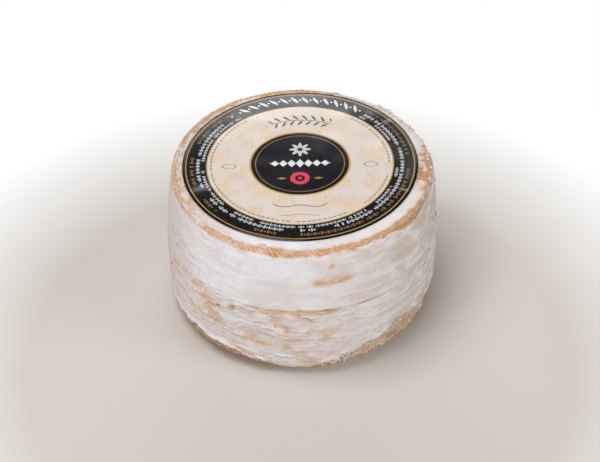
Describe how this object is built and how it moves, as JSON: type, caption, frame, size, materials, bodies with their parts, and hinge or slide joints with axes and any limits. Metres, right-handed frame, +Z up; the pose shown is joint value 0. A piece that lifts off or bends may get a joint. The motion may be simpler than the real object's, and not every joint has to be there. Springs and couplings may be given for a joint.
{
  "type": "cured sheep cheese wheel",
  "caption": "Whole round wheel of cured sheep cheese: white coated flank, tan rope-marked rim, and a round printed paper label lying on its pressed top.",
  "frame": {"origin": "middle of the flat base that the wheel stands on", "axes": "+Z up through the wheel; +X towards the higher side of its slightly slanting top; +Y the side towards which the label lies off centre"},
  "size_m": [0.2001, 0.2001, 0.1164],
  "materials": {
    "rind": "dry white coating brushed over a tan rind, matt to faintly waxy",
    "label_paper": "glossy coated paper in black, cream and gold"
  },
  "bodies": {
    "root": {"cheese_wheel": "rind", "label": "label_paper"}
  },
  "joints": []
}
